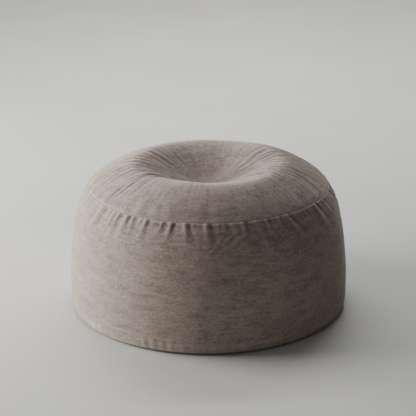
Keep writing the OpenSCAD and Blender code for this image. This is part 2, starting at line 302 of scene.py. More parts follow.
@dataclass(frozen=True)
class MetalFinish:
    """Cast zip metal with a dull plating, fine scratches and rubbed spots."""

    name: str
    bright: tuple[float, float, float, float]
    worn: tuple[float, float, float, float]

    def material(self) -> bpy.types.Material:
        """Builds the material."""
        s = Shader(self.name)
        even = s.place((1.0, 1.0, 1.0))
        scratch = s.noise(s.place((1.0, 1.0, 14.0)), 380.0, 3.0, 0.6)
        worn = s.noise(even, 130.0, 4.0, 0.6)
        base = s.mix(s.spread(worn, 0.42, 0.66), self.bright, self.worn)
        rough = s.spread(worn, 0.35, 0.7, 0.28, 0.48)
        normal = s.bump(scratch, 0.25, 0.06 * MM)
        return s.finish(Base_Color=base, Roughness=rough, Normal=normal, Metallic=0.92)


@dataclass(frozen=True)
class BeadFinish:
    """Loose white foam beads, seen as a heap of small round cells, with painted shade in the gaps between
    them.
    """

    name: str
    bead: tuple[float, float, float, float]
    shade: tuple[float, float, float, float]
    per_metre: float = 260.0

    def material(self) -> bpy.types.Material:
        """Builds the material."""
        s = Shader(self.name)
        cells = s.add("ShaderNodeTexVoronoi", {"Vector": s.place((1.0, 1.0, 1.0)),
                                               "Scale": self.per_metre}).outputs["Distance"]
        # The shade colour at the cell edges is painted shade in the gaps between the beads.
        base = s.mix(s.spread(cells, 0.25, 0.7), self.bead, self.shade)
        dome = s.spread(cells, 0.0, 0.7, 1.0, 0.0)
        rough = s.spread(cells, 0.0, 0.7, 0.55, 0.75)
        return s.finish(Base_Color=base, Roughness=rough, Normal=s.bump(dome, 0.9, 1.5 * MM))


@dataclass(frozen=True)
class FloorFinish:
    """A plain pale matt floor with the faintest cloudiness."""

    name: str
    light: tuple[float, float, float, float]
    dark: tuple[float, float, float, float]

    def material(self) -> bpy.types.Material:
        """Builds the material."""
        s = Shader(self.name)
        cloud = s.noise(s.place((1.0, 1.0, 1.0)), 1.7, 5.0, 0.6)
        base = s.mix(s.spread(cloud, 0.3, 0.7), self.dark, self.light)
        rough = s.spread(cloud, 0.3, 0.7, 0.5, 0.62)
        return s.finish(Base_Color=base, Roughness=rough, Normal=s.bump(cloud, 0.05, 1.0 * MM))


class Finishes:
    """Every finish of the cushion, built once and looked up by slot."""

    def __init__(self) -> None:
        """Builds the materials."""
        recipes = {
            Slot.COVER: VelourFinish("velour_taupe", rgb(139, 122, 114), rgb(131, 122, 111),
                                     rgb(84, 74, 67), rgb(180, 165, 156), streak=0.52),
            Slot.BASE: WovenFinish("base_cloth_dark", rgb(88, 80, 74), rgb(58, 52, 48), 1.6 * MM),
            Slot.THREAD: ThreadFinish("thread_taupe", rgb(160, 146, 136), rgb(112, 100, 92)),
            Slot.TAPE: WovenFinish("tape_brown_grey", rgb(92, 83, 76), rgb(62, 55, 50), 0.9 * MM,
                                   relief=0.12 * MM),
            Slot.COIL: ThreadFinish("coil_brown_grey", rgb(104, 94, 86), rgb(66, 58, 53), 0.38),
            Slot.METAL: MetalFinish("zip_metal_dull", rgb(176, 172, 166), rgb(128, 122, 116)),
            Slot.LABEL: WovenFinish("label_white", rgb(238, 235, 228), rgb(214, 210, 202), 0.5 * MM,
                                    rough=0.6, relief=0.05 * MM),
            Slot.LINING: WovenFinish("lining_off_white", rgb(226, 222, 214), rgb(190, 186, 176),
                                     0.8 * MM, relief=0.1 * MM),
            Slot.LINING_THREAD: ThreadFinish("thread_white", rgb(232, 230, 224), rgb(196, 192, 186)),
            Slot.LINING_TAPE: WovenFinish("tape_off_white", rgb(214, 210, 202), rgb(178, 174, 166),
                                          0.9 * MM, relief=0.1 * MM),
            Slot.LINING_COIL: ThreadFinish("coil_off_white", rgb(212, 208, 200), rgb(170, 166, 158), 0.4),
            Slot.BEADS: BeadFinish("foam_beads_white", rgb(246, 245, 242), rgb(196, 194, 190)),
        }
        self.materials = {slot: recipe.material() for slot, recipe in recipes.items()}

    def of(self, slot: Slot) -> bpy.types.Material:
        """Returns the material of a slot."""
        return self.materials[slot]

    def dress(self, node: str, slot: Slot) -> None:
        """Gives a carried-over node its finish."""
        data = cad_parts[node].data
        data.materials.clear()
        data.materials.append(self.of(slot))
        log.info("%s keeps its shape and takes %s", node, self.of(slot).name)


# ---------------------------------------------------------------- section of the cushion


def curve(start: tuple[float, float], start_dir: float, start_pull: float, end: tuple[float, float],
          end_dir: float, end_pull: float, steps: int = 60) -> np.ndarray:
    """Returns points of a cubic curve between two points with given leans, both ends included.

    Args:
        start: First point, as radius and height.
        start_dir: Lean at the first point, in degrees from level.
        start_pull: Share of the straight distance that the first arm takes.
        end: Last point.
        end_dir: Lean at the last point, in degrees.
        end_pull: Share of the distance that the last arm takes.
        steps: How many pieces to cut the curve into.

    Returns:
        The points, one row each.
    """
    a, d = np.array(start), np.array(end)
    reach = float(np.linalg.norm(d - a))
    lean = [np.array([math.cos(math.radians(v)), math.sin(math.radians(v))]) for v in (start_dir, end_dir)]
    b, c = a + start_pull * reach * lean[0], d - end_pull * reach * lean[1]
    t = np.linspace(0.0, 1.0, steps + 1)[:, None]
    return (1 - t) ** 3 * a + 3 * (1 - t) ** 2 * t * b + 3 * (1 - t) * t * t * c + t ** 3 * d


class Profile:
    """One stretch of the section, read by the distance along it."""

    def __init__(self, points: np.ndarray, outward: float) -> None:
        """Measures the stretch.

        Args:
            points: Points of the stretch, as radius and height.
            outward: 1 if the outside is on the right of the direction of travel, or -1.
        """
        step = np.linalg.norm(np.diff(points, axis=0), axis=1)
        keep = np.r_[True, step > 1e-7]
        points = points[keep]
        self.along = np.r_[0.0, np.cumsum(np.linalg.norm(np.diff(points, axis=0), axis=1))]
        self.points = points
        tangent = np.gradient(points, self.along, axis=0)
        normal = outward * np.c_[tangent[:, 1], -tangent[:, 0]]
        self.normals = normal / np.linalg.norm(normal, axis=1)[:, None]
        self.length = float(self.along[-1])

    def at(self, s: np.ndarray) -> tuple[np.ndarray, np.ndarray]:
        """Returns points and outward normals at distances along the stretch."""
        def read(table: np.ndarray) -> np.ndarray:
            """Returns a table's two columns at those distances."""
            return np.stack([np.interp(s, self.along, table[:, k]) for k in (0, 1)], axis=-1)
        normal = read(self.normals)
        return read(self.points), normal / np.linalg.norm(normal, axis=-1, keepdims=True)

    def inside(self, depth: float) -> "Profile":
        """Returns the same stretch moved inwards by a depth."""
        moved = self.points - depth * self.normals
        moved[:, 0] = np.maximum(moved[:, 0], 0.0)
        result = Profile.__new__(Profile)
        result.points, result.normals = moved, self.normals
        result.along, result.length = self.along, self.length
        return result


@dataclass
class CushionForm:
    """The section of the cover. Overall sizes come from the frame, the rest are its own."""

    top_seam_inset: float = 65 * MM
    top_seam_drop: float = 72 * MM
    top_seam_lean: float = 133.0
    rim_inset: float = 213 * MM
    dish_depth: float = 72 * MM
    base_seam_inset: float = 7 * MM
    base_seam_h: float = 8 * MM
    base_seam_lean: float = 72.0
    base_roll: float = 20 * MM
    upright_low: float = 38 * MM
    upright_high: float = 98 * MM
    fabric: float = 1.5 * MM
    back_half: float = math.radians(60.0)
    side_r: float = field(init=False)
    rim_h: float = field(init=False)

    def __post_init__(self) -> None:
        """Reads the overall sizes and builds the three stretches."""
        self.side_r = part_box("cover_front_band")[1].x
        self.rim_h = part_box("cover_top_panel")[1].z
        top_seam = (self.side_r - self.top_seam_inset, self.rim_h - self.top_seam_drop)
        rim = (self.side_r - self.rim_inset, self.rim_h)
        dish = (0.0, self.rim_h - self.dish_depth)
        seat = curve(rim, 180, 0.28, dish, 180, 0.35)
        self.top = Profile(np.vstack([curve(top_seam, self.top_seam_lean, 0.33, rim, 180, 0.24),
                                      seat[1:]])[::-1], -1.0)
        base_seam = (self.side_r - self.base_seam_inset, self.base_seam_h)
        upright = [(self.side_r, self.upright_low), (self.side_r, self.upright_high)]
        low = curve(base_seam, self.base_seam_lean, 0.3, upright[0], 90, 0.3, 12)
        high = curve(upright[1], 90, 0.16, top_seam, self.top_seam_lean, 0.27)
        middle = np.linspace(upright[0], upright[1], 13)[1:-1]
        self.side = Profile(np.vstack([low, middle, high]), 1.0)
        flat_r = base_seam[0] - self.base_roll
        roll = curve((flat_r, 0.0), 0, 0.4, base_seam, self.base_seam_lean, 0.3, 16)
        self.base = Profile(np.vstack([np.linspace((0.0, 0.0), (flat_r, 0.0), 40)[:-1], roll]), 1.0)

    def side_at_height(self, height: float) -> float:
        """Returns the distance along the side at a height."""
        return float(np.interp(height, self.side.points[:, 1], self.side.along))


# ---------------------------------------------------------------- sheets of fabric


@dataclass(frozen=True)
class ClothRun:
    """How one sheet is simulated: it grows by a share while its edges and its filling hold it.

    Attributes:
        growth: Share by which the cloth grows.
        bending: How stiffly it bends.
        frames: How many frames it runs.
        quality: Steps in each frame.
        cap: The furthest that a point may move.
        mass: Mass of a point.
        stiffness: Against tension, compression and shear.
        damping: Of tension, compression and shear.
        bending_damping: Of bending.
        air: How much the air slows it.
    """

    growth: float
    bending: float
    frames: int = 24
    quality: int = 5
    cap: float = 14 * MM
    mass: float = 0.3
    stiffness: tuple[float, float, float] = (40.0, 20.0, 8.0)
    damping: tuple[float, float, float] = (15.0, 15.0, 10.0)
    bending_damping: float = 0.5
    air: float = 4.0

    def settle(self, points: np.ndarray, faces: list[tuple[int, ...]], hold: np.ndarray,
               share: np.ndarray) -> np.ndarray:
        """Runs the cloth and returns where its points end.

        Args:
            points: Start places.
            faces: Faces by point number.
            hold: How firmly each point is held, 0 to 1.
            share: How much of the growth each point takes, 0 to 1.

        Returns:
            The settled places, none further than the cap from its start.
        """
        mesh = bpy.data.meshes.new("cloth_run")
        mesh.from_pydata(points.tolist(), [], faces)
        sheet = bpy.data.objects.new("cloth_run", mesh)
        bpy.context.scene.collection.objects.link(sheet)
        for name, weights in (("hold", hold), ("rest", 1.0 - share)):
            group = sheet.vertex_groups.new(name=name)
            for index, weight in enumerate(weights):
                group.add([index], float(weight), "REPLACE")
        modifier = sheet.modifiers.new("cloth", "CLOTH")
        cloth = modifier.settings
        cloth.quality = self.quality
        cloth.mass = self.mass
        for way, stiffness, damping in zip(("tension", "compression", "shear"), self.stiffness, self.damping):
            setattr(cloth, f"{way}_stiffness", stiffness)
            setattr(cloth, f"{way}_damping", damping)
        cloth.bending_stiffness, cloth.bending_damping = self.bending, self.bending_damping
        cloth.air_damping = self.air
        cloth.effector_weights.gravity = 0
        cloth.vertex_group_mass, cloth.pin_stiffness = "hold", 1.0
        cloth.shrink_min, cloth.shrink_max, cloth.vertex_group_shrink = -self.growth, 0.0, "rest"
        modifier.collision_settings.use_collision = False
        modifier.point_cache.frame_start, modifier.point_cache.frame_end = 1, self.frames
        scene = bpy.context.scene
        scene.frame_start, scene.frame_end = 1, self.frames
        for number in range(1, self.frames + 1):
            scene.frame_set(number)
        settled = np.zeros(len(points) * 3, np.float32)
        evaluated = sheet.evaluated_get(bpy.context.evaluated_depsgraph_get())
        evaluated.to_mesh().vertices.foreach_get("co", settled)
        evaluated.to_mesh_clear()
        bpy.data.objects.remove(sheet)
        bpy.data.meshes.remove(mesh)
        scene.frame_set(1)
        move = settled.reshape(-1, 3).astype(float) - points
        far = np.linalg.norm(move, axis=1)
        return points + move * np.minimum(1.0, self.cap / np.maximum(far, 1e-9))[:, None]


def ease(value: np.ndarray, low: float, high: float) -> np.ndarray:
    """Returns 0 below low and 1 above high, with a smooth step between."""
    t = np.clip((value - low) / (high - low), 0.0, 1.0)
    return t * t * (3.0 - 2.0 * t)


def ring_wave(turn: np.ndarray, reach: np.ndarray, rng: np.random.Generator, low: int, high: int,
              count: int, drift: float) -> np.ndarray:
    """Returns a sum of waves round the axis whose phase drifts along the section.

    Args:
        turn: Angles round the axis.
        reach: Distances along the section.
        rng: The seeded generator.
        low: Fewest waves in a full turn.
        high: Most waves in a full turn.
        count: How many waves to add.
        drift: How far the phase wanders per metre.

    Returns:
        Values of about -1 to 1.
    """
    total = np.zeros(np.broadcast(turn, reach).shape)
    for waves in rng.integers(low, high, count):
        phase, wander, slope = rng.random(3) * 2 * math.pi
        sway = 0.8 * np.sin(reach * drift + wander) + (slope / math.pi - 1.0) * reach * drift * 0.3
        patch = 0.5 + 0.5 * np.cos(2 * turn + wander + slope)
        total = total + np.cos(waves * turn + phase + sway) * patch
    return total / math.sqrt(count)


def turn_gap(turn: np.ndarray, place: np.ndarray | float) -> np.ndarray:
    """Returns how far each angle is past a place, from minus half a turn to half a turn."""
    return (turn - place + math.pi) % (2 * math.pi) - math.pi


def bell(off: np.ndarray, width: np.ndarray | float) -> np.ndarray:
    """Returns 1 in the middle of a fold, falling smoothly to 0 either side."""
    return np.exp(-((off / width) ** 2))


def revolve(section: np.ndarray, normal: np.ndarray, turn: np.ndarray,
            height: np.ndarray | float) -> np.ndarray:
    """Returns the points of a section at angles round the axis, moved out by a height.

    Args:
        section: Places on the section, as radius and height.
        normal: Outward directions there.
        turn: Angles round the axis.
        height: How far each point stands out.

    Returns:
        The points, with x, y and z on the last axis.
    """
    radial = section[..., 0] + height * normal[..., 0]
    level = section[..., 1] + height * normal[..., 1]
    return np.stack(np.broadcast_arrays(radial * np.cos(turn), radial * np.sin(turn), level), axis=-1)


def grid_faces(rows: int, columns: int, closed: bool = False) -> list[list[int]]:
    """Returns the four-sided faces of a grid of points, joined round if it is closed."""
    at = np.arange(rows * columns).reshape(rows, columns)
    after = np.roll(at, -1, axis=1) if closed else at[:, 1:]
    before = at if closed else at[:, :-1]
    return np.stack([before[:-1], after[:-1], after[1:], before[1:]], axis=-1).reshape(-1, 4).tolist()


def plain_mesh(source: bpy.types.Object, name: str) -> bpy.types.Mesh:
    """Returns the evaluated shape of an object as a mesh of its own."""
    evaluated = source.evaluated_get(bpy.context.evaluated_depsgraph_get())
    mesh = bpy.data.meshes.new_from_object(evaluated)
    mesh.name = name
    return mesh


def piece_from(name: str, points: np.ndarray, faces: list[tuple[int, ...]],
               material: bpy.types.Material) -> bpy.types.Object:
    """Makes a smooth-shaded object at the origin from points and faces."""
    mesh = bpy.data.meshes.new(name)
    mesh.from_pydata(points.tolist(), [], faces)
    mesh.materials.append(material)
    mesh.shade_smooth()
    piece = bpy.data.objects.new(name, mesh)
    bpy.context.scene.collection.objects.link(piece)
    return piece


def mark_crests(piece: bpy.types.Object, reach: float, rounds: int = 9) -> None:
    """Stores how far each point stands over its neighbours, 0.5 where the sheet is even.

    Args:
        piece: The sheet, before it gets its thickness.
        reach: Height over the neighbours that counts as a full crest.
        rounds: How many times the sheet is smoothed to find the even level.
    """
    mesh = piece.data
    count = len(mesh.vertices)
    points = np.zeros(count * 3)
    mesh.vertices.foreach_get("co", points)
    normals = np.zeros(count * 3)
    mesh.vertex_normals.foreach_get("vector", normals)
    points, normals = points.reshape(-1, 3), normals.reshape(-1, 3)
    ends = np.zeros(len(mesh.edges) * 2, np.int64)
    mesh.edges.foreach_get("vertices", ends)
    ends = ends.reshape(-1, 2)
    valence = np.bincount(ends.ravel(), minlength=count)[:, None]
    smooth = points
    for _ in range(rounds):
        total = np.zeros_like(smooth)
        np.add.at(total, ends[:, 0], smooth[ends[:, 1]])
        np.add.at(total, ends[:, 1], smooth[ends[:, 0]])
        smooth = 0.5 * smooth + 0.5 * total / valence
    height = ((points - smooth) * normals).sum(axis=1)
    # The velour uses this value for painted shade in folds and a partly painted highlight on crests.
    value = np.clip(0.5 + 0.5 * height / reach, 0.0, 1.0)
    layer = mesh.attributes.new("crest", "FLOAT", "POINT")
    layer.data.foreach_set("value", value.astype(np.float32))


def thicken(piece: bpy.types.Object, thickness: float) -> None:
    """Turns a sheet into a closed shell, the thickness going inwards."""
    modifier = piece.modifiers.new("thickness", "SOLIDIFY")
    modifier.thickness, modifier.offset = thickness, -1.0
    modifier.use_rim = True
    flat, piece.data = piece.data, plain_mesh(piece, piece.name)
    piece.modifiers.clear()
    bpy.data.meshes.remove(flat)


def hand_over(piece: bpy.types.Object, body: Body, nodes: tuple[str, ...]) -> None:
    """Makes the frame calls of one finished piece and reports it.

    Args:
        piece: The finished piece.
        body: The body it rides on.
        nodes: The frame nodes it stands for.
    """
    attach(piece, body.value)
    if nodes:
        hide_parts(*nodes)
    log.info("%s: %d faces, rides on %s", piece.name, len(piece.data.polygons), body.value)


def edge_roll(gap: np.ndarray, radius: float) -> np.ndarray:
    """Returns how deep a rolled fabric edge has sunk, from the gap to the edge."""
    if radius <= 0.0:
        return np.zeros_like(gap)
    near = np.clip(1.0 - gap / radius, 0.0, 1.0)
    return radius * (1.0 - np.sqrt(1.0 - np.minimum(near, 0.999) ** 2))


def stations(start: float, end: float, spacing: float, roll_start: float, roll_end: float) -> np.ndarray:
    """Returns even stations between two ends, with closer ones over the rolled edges."""
    fine = np.array([0.0, 0.06, 0.2, 0.45, 0.75])
    low, high = start + fine * roll_start, end - fine * roll_end
    count = max(2, int(round((end - start - roll_start - roll_end) / spacing)))
    middle = np.linspace(start + roll_start, end - roll_end, count + 1)
    parts = [low if roll_start > 0 else [], middle, high[::-1] if roll_end > 0 else []]
    return np.concatenate(parts)


@dataclass
class TopPanel:
    """The round seat panel: a disc of cloth with radial folds over the rim and into the dish."""

    form: CushionForm
    finishes: Finishes
    spacing: float = 5.2 * MM
    seam_roll: float = 2.0 * MM
    seam_tuck: float = 4.0 * MM
    seam_rows: tuple[float, ...] = (0.75, 0.45, 0.2, 0.06, 0.0)
    fold_count: int = 430
    fold_start: tuple[float, float] = (70, 300)
    fold_run: tuple[float, float] = (70, 240)
    fold_width: tuple[float, float] = (2.8, 6.0)
    fold_depth: tuple[float, float] = (0.7, 2.1)
    deep_count: int = 20
    deep_start: tuple[float, float] = (90, 150)
    deep_end: tuple[float, float] = (250, 350)
    deep_width: tuple[float, float] = (5.0, 9.0)
    deep_depth: tuple[float, float] = (1.6, 3.1)
    lump_h: float = 2.4 * MM
    broad_h: float = 0.9 * MM
    dent_h: float = 0.9 * MM
    cloth: ClothRun = ClothRun(growth=0.008, bending=0.8, cap=8 * MM)
    seed: int = 11

    def disc(self) -> tuple[np.ndarray, np.ndarray, list[tuple[int, ...]], list[np.ndarray]]:
        """Lays out an even disc of triangles, each ring with six points more than the last.

        Returns:
            Angles, distances from the middle, faces, and the points of each ring.
        """
        reach = self.form.top.length - self.seam_roll
        count = int(round(reach / self.spacing))
        turns, arcs, faces = [0.0], [0.0], []
        rings = [np.array([0])]
        for k in range(1, count + 1):
            rings.append(np.arange(6 * k) + len(turns))
            turns.extend(2 * math.pi * j / (6 * k) for j in range(6 * k))
            arcs.extend([reach * k / count] * (6 * k))
            outer, inner = rings[k], rings[k - 1]
            for side in range(6):
                for i in range(k):
                    a, b = outer[(side * k + i) % (6 * k)], outer[(side * k + i + 1) % (6 * k)]
                    c = inner[(side * (k - 1) + i) % len(inner)]
                    faces.append((int(a), int(b), int(c)))
                    if i < k - 1:
                        faces.append((int(b), int(inner[(side * (k - 1) + i + 1) % len(inner)]), int(c)))
        return np.array(turns), np.array(arcs), faces, rings

    def folds(self, turn: np.ndarray, arc: np.ndarray) -> np.ndarray:
        """Returns single radial folds: fine ones over the rim, mostly at the two sides."""
        rng = np.random.default_rng(self.seed + 1)
        total = np.zeros(turn.shape)
        length = self.form.top.length
        for number in range(self.fold_count):
            place = rng.random() * 2 * math.pi
            sideways = math.cos(place) ** 2
            weight = 0.08 + 0.92 * sideways ** 1.3
            start = rng.uniform(*self.fold_start) * MM
            end = min(start + rng.uniform(*self.fold_run) * MM, length - rng.uniform(0, 50) * MM)
            width = rng.uniform(*self.fold_width) * MM
            depth = rng.uniform(*self.fold_depth) * MM * weight
            if number < self.deep_count:
                place = rng.choice([0.0, math.pi]) + rng.uniform(-0.75, 0.75)
                start, end = rng.uniform(*self.deep_start) * MM, rng.uniform(*self.deep_end) * MM
                width, depth = rng.uniform(*self.deep_width) * MM, rng.uniform(*self.deep_depth) * MM
            bend = rng.uniform(-0.5, 0.5)
            middle, half = (start + end) / 2, max((end - start) / 2, 20 * MM)
            away = (arc - middle) / half
            off = turn_gap(turn, place + bend * (arc - middle)) * np.maximum(arc, 30 * MM)
            fade = np.clip(1.0 - away ** 2, 0.0, 1.0)
            crest = bell(np.abs(off) - 1.9 * width, 0.9 * width)
            total += depth * fade * (0.38 * crest - bell(off, width))
        return total

    def relief(self, turn: np.ndarray, arc: np.ndarray) -> np.ndarray:
        """Returns how high the sheet stands over the plain section before the cloth runs."""
        rng = np.random.default_rng(self.seed)
        length = self.form.top.length
        broad = ring_wave(turn, arc, rng, 9, 22, 8, 12.0)
        lumps = ring_wave(turn, arc, rng, 2, 6, 6, 16.0)
        away = length - arc
        held = ease(away, 0.0, 26 * MM)
        out = ease(arc, 60 * MM, 190 * MM)
        dents = ring_wave(turn, arc * 0.2, rng, 26, 48, 8, 4.0) * (1.0 - ease(away, 35 * MM, 95 * MM))
        near_seam = ease(away, 0.0, 12 * MM)
        sides = 0.35 + 0.65 * np.cos(turn) ** 2
        even = self.broad_h * broad * out * sides + self.lump_h * lumps * ease(arc, 0.0, 120 * MM)
        return held * even + near_seam * (self.dent_h * dents + self.folds(turn, arc))

    def build(self) -> None:
        """Builds the panel."""
        turn, arc, faces, rings = self.disc()
        points = revolve(*self.form.top.at(arc), turn, self.relief(turn, arc))
        away = self.form.top.length - self.seam_roll - arc
        sides = 0.04 + 0.96 * np.cos(turn) ** 4
        share = ease(arc, 70 * MM, 200 * MM) * sides
        hold = 0.25 + 0.2 * (1.0 - ease(arc, 60 * MM, 160 * MM))
        hold = np.where(away < 0.5 * MM, 1.0, hold)
        points = self.cloth.settle(points, faces, hold, share)
        points, faces = self.close_seam(points, faces, rings[-1])
        piece = piece_from("seat_panel_velour", points, faces, self.finishes.of(Slot.COVER))
        mark_crests(piece, 1.2 * MM)
        thicken(piece, self.form.fabric)
        hand_over(piece, Body.CUSHION, ("cover_top_panel",))

    def close_seam(self, points: np.ndarray, faces: list[tuple[int, ...]],
                   rim: np.ndarray) -> tuple[np.ndarray, list[tuple[int, ...]]]:
        """Adds the rolled edge at the seam and the tuck behind it.

        Args:
            points: The settled disc.
            faces: Its faces, which grow here.
            rim: Numbers of the outermost ring's points.

        Returns:
            All the points, and all the faces.
        """
        turn = np.arctan2(points[rim, 1], points[rim, 0])
        length = self.form.top.length
        rows = [(length - gap, float(edge_roll(np.array(gap), self.seam_roll)))
                for gap in self.seam_roll * np.array(self.seam_rows)]
        rows.append((length, self.seam_roll + 0.5 * self.seam_tuck))
        rows.append((length, self.seam_roll + self.seam_tuck))
        extra, last = [points], rim
        start = len(points)
        for arc, depth in rows:
            extra.append(revolve(*self.form.top.at(np.array(arc)), turn, -depth))
            ring = np.arange(len(rim)) + start
            start += len(rim)
            for i in range(len(rim)):
                j = (i + 1) % len(rim)
                faces.append((int(last[i]), int(ring[i]), int(ring[j]), int(last[j])))
            last = ring
        return np.vstack(extra), faces


@dataclass(frozen=True)
class EdgeRolls:
    """Radius of the rolled fabric at each edge of a band, in metres."""

    start: float
    end: float
    low: float
    high: float


@dataclass
class SideBands:
    """The side of the cover: a front band and two back bands with the zip between them."""

    form: CushionForm
    finishes: Finishes
    spacing: float = 5.6 * MM
    finish_spacing: float = 4.2 * MM
    seam_roll: float = 2.0 * MM
    zip_roll: float = 1.6 * MM
    lump_h: float = 2.2 * MM
    broad_h: float = 0.9 * MM
    crease_h: float = 0.5 * MM
    welt_drop: float = 4.5 * MM
    welt_width: float = 3.0 * MM
    welt_rise: float = 1.1 * MM
    hollow_shift: float = 1.7
    drag_start: tuple[float, float] = (4, 40)
    drag_run: tuple[float, float] = (40, 100)
    drag_width: tuple[float, float] = (6, 11)
    drag_height: tuple[float, float] = (0.3, 1.0)
    drag_count: int = 26
    edge_depth: float = 1.7 * MM
    edge_half: float = 12.0 * MM
    cloth: ClothRun = ClothRun(growth=0.004, bending=0.6, cap=6 * MM)
    seed: int = 23

    def puckers(self, turn: np.ndarray, below: np.ndarray) -> np.ndarray:
        """Returns the gathered puckers that start at the top seam.

        Args:
            turn: Angles round the axis.
            below: Distances below the seam.

        Returns:
            How far the fabric stands out, in metres.
        """
        rng = np.random.default_rng(self.seed)
        radius = self.form.side_r
        total = np.zeros(np.broadcast(turn, below).shape)
        place = 0.0
        while place < 2 * math.pi:
            place += rng.choice([rng.uniform(8, 20), rng.uniform(20, 66)], p=[0.55, 0.45]) * MM / radius
            size = rng.random() ** 1.6
            length = (24 + 105 * size) * rng.uniform(0.8, 1.2) * MM
            width = (2.8 + 5.4 * size) * rng.uniform(0.8, 1.2) * MM
            height = (1.1 + 3.1 * size) * rng.uniform(0.7, 1.2) * MM
            lean = 0.62 * math.cos(place) + rng.uniform(-0.34, 0.34)
            off = turn_gap(turn, place) * radius - lean * below
            spread = width + 0.12 * below
            fade = np.clip(1.0 - below / length, 0.0, 1.0) ** 1.2 * ease(below, 0.0, 6 * MM)
            hollow = bell(off - self.hollow_shift * spread, 1.1 * spread)
            total += height * fade * (bell(off, spread) - 0.75 * hollow)
        return total + self.drag_folds(turn, below)

    def drag_folds(self, turn: np.ndarray, below: np.ndarray) -> np.ndarray:
        """Returns the soft slanting folds that run on below the puckers.

        Args:
            turn: Angles round the axis.
            below: Distances below the seam.

        Returns:
            How far the fabric stands out, in metres.
        """
        rng = np.random.default_rng(self.seed + 2)
        radius = self.form.side_r
        total = np.zeros(np.broadcast(turn, below).shape)
        for place in rng.random(self.drag_count) * 2 * math.pi:
            start, length = rng.uniform(*self.drag_start) * MM, rng.uniform(*self.drag_run) * MM
            width, height = rng.uniform(*self.drag_width) * MM, rng.uniform(*self.drag_height) * MM
            slant = -rng.uniform(0.5, 1.3)
            away = (below - start - length / 2) / (length / 2)
            off = (turn_gap(turn, place) * radius - slant * (below - start)) / math.hypot(1.0, slant)
            fade = np.clip(1.0 - away ** 2, 0.0, 1.0) ** 1.5
            hollow = bell(off - self.hollow_shift * width, width)
            total += height * fade * (bell(off, width) - 0.8 * hollow)
        return total

    def relief(self, turn: np.ndarray, arc: np.ndarray) -> np.ndarray:
        """Returns how far the fabric stands out before the cloth runs."""
        rng = np.random.default_rng(self.seed + 1)
        length = self.form.side.length
        held = ease(arc, 0.0, 40 * MM) * ease(length - arc, 0.0, 30 * MM)
        lumps = ring_wave(turn, arc, rng, 2, 7, 8, 14.0)
        broad = ring_wave(turn, arc * 3.0, rng, 8, 20, 8, 10.0)
        creases = ring_wave(turn, arc * 9.0, rng, 2, 9, 10, 14.0)
        base = 1.0 - ease(arc, 12 * MM, 60 * MM)
        gathers = ring_wave(turn, arc, rng, 60, 120, 14, 8.0) * base * ease(arc, 0.0, 10 * MM)
        welt = bell(length - arc - self.welt_drop, self.welt_width)
        even = self.lump_h * lumps + self.broad_h * broad + self.crease_h * creases
        sewn = self.puckers(turn, length - arc) + self.welt_rise * welt
        return held * even + self.crease_h * gathers + sewn

    def simulate(self) -> None:
        """Runs the whole side as one sheet and keeps how far it moved."""
        profile = self.form.side
        rows = int(round(profile.length / self.spacing))
        columns = int(round(2 * math.pi * self.form.side_r / self.spacing))
        arc = np.linspace(0.0, profile.length, rows + 1)[:, None]
        turn = (np.arange(columns) * 2 * math.pi / columns)[None, :]
        section, normal = profile.at(arc)
        height = self.relief(turn, arc)
        points = revolve(section, normal, turn, height)
        plain = revolve(section, normal, turn, 0.0)
        flat = points.reshape(-1, 3)
        faces = grid_faces(rows + 1, columns, closed=True)
        below = np.broadcast_to(profile.length - arc, height.shape)
        up = np.broadcast_to(arc, height.shape)
        share = 0.35 + 0.65 * (1.0 - ease(below, 20 * MM, 160 * MM))
        share = share * ease(up, 20 * MM, 60 * MM)
        hold = 0.3 + 0.2 * ease(below, 60 * MM, 160 * MM)
        hold = np.where((up < 1 * MM) | (below < 1 * MM), 1.0, hold)
        flat = self.cloth.settle(flat, faces, hold.ravel(), share.ravel())
        move = flat.reshape(points.shape) - plain
        across = move[..., 0] * np.cos(turn) + move[..., 1] * np.sin(turn)
        sideways = move[..., 1] * np.cos(turn) - move[..., 0] * np.sin(turn)
        self.moved = np.stack([across, sideways, move[..., 2]], axis=-1)

    def moved_at(self, turn: np.ndarray, arc: np.ndarray) -> np.ndarray:
        """Returns the kept movement between grid points, by cubic blending both ways."""
        rows, columns = self.moved.shape[:2]
        row = np.clip(arc / self.form.side.length, 0.0, 1.0) * (rows - 1)
        column = (turn / (2 * math.pi) % 1.0) * columns
        result = 0.0
        for r, row_weight in self.blend_weights(row):
            line = 0.0
            for c, column_weight in self.blend_weights(column):
                line = line + column_weight[..., None] * self.moved[np.clip(r, 0, rows - 1), c % columns]
            result = result + row_weight[..., None] * line
        return result

    @staticmethod
    def blend_weights(place: np.ndarray) -> list[tuple[np.ndarray, np.ndarray]]:
        """Returns the four neighbours of each place on a line, and their cubic weights."""
        low = np.floor(place).astype(int)
        t = place - low
        weights = (-0.5 * t + t ** 2 - 0.5 * t ** 3, 1 - 2.5 * t ** 2 + 1.5 * t ** 3,
                   0.5 * t + 2 * t ** 2 - 1.5 * t ** 3, -0.5 * t ** 2 + 0.5 * t ** 3)
        return [(low + k - 1, weight) for k, weight in enumerate(weights)]

    def surface(self, turn: np.ndarray, arc: np.ndarray, depth: np.ndarray | float) -> np.ndarray:
        """Returns points of the settled side at a depth under its face."""
        turn, arc = np.broadcast_arrays(turn, arc)
        section, normal = self.form.side.at(arc)
        move = self.moved_at(turn, arc)
        radial = section[..., 0] + move[..., 0] - depth * normal[..., 0]
        level = section[..., 1] + move[..., 2] - depth * normal[..., 1]
        sideways = move[..., 1]
        return np.stack([radial * np.cos(turn) - sideways * np.sin(turn),
                         radial * np.sin(turn) + sideways * np.cos(turn), level], axis=-1)

    def sheet(self, name: str, turn: np.ndarray, arc: np.ndarray,
              depth: np.ndarray | float) -> bpy.types.Object:
        """Returns a sheet of the settled side, over a row of angles and a column of distances."""
        points = self.surface(turn, arc, depth)
        return piece_from(name, points.reshape(-1, 3), grid_faces(*points.shape[:2]),
                          self.finishes.of(Slot.COVER))

